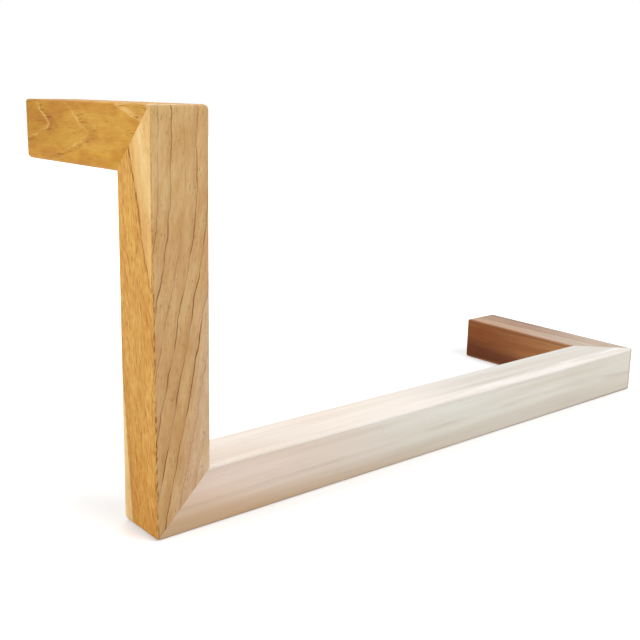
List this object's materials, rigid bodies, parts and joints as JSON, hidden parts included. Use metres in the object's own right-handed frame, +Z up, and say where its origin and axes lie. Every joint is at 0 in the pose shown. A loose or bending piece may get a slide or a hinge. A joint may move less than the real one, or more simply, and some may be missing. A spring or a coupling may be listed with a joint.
{
  "type": "floating bookshelf",
  "caption": "Wall-hung bookshelf of square hardwood bar, mitred into an open frame: a return from the wall, an upright, a long front rail that books stand on and a return back to the wall.",
  "frame": {"origin": "bottom centre of the shelf's box, on the plane that the front rail and the lower return rest on", "axes": "+X along the front rail from the upright to the free corner, +Y towards the wall, +Z up"},
  "size_m": [0.49, 0.16, 0.25],
  "materials": {
    "golden_wood": "oiled, golden amber",
    "tan_wood": "oiled, tan with dark ring lines",
    "pale_wood": "oiled, pale",
    "pink_wood": "oiled, pinkish tan",
    "beech": "bare, fluted",
    "zinc_plated_steel": "zinc plated"
  },
  "bodies": {
    "root": {"upper_return": "golden_wood", "post": "tan_wood", "front_rail": "pale_wood", "lower_return": "pink_wood", "upper_mitre_dowel_1": "beech", "upper_mitre_dowel_2": "beech", "front_mitre_dowel_1": "beech", "front_mitre_dowel_2": "beech", "lower_mitre_dowel_1": "beech", "lower_mitre_dowel_2": "beech", "upper_hanger_plate": "zinc_plated_steel", "lower_hanger_plate": "zinc_plated_steel", "upper_hanger_screw_1": "zinc_plated_steel", "upper_hanger_screw_2": "zinc_plated_steel", "lower_hanger_screw_1": "zinc_plated_steel", "lower_hanger_screw_2": "zinc_plated_steel"}
  },
  "joints": []
}
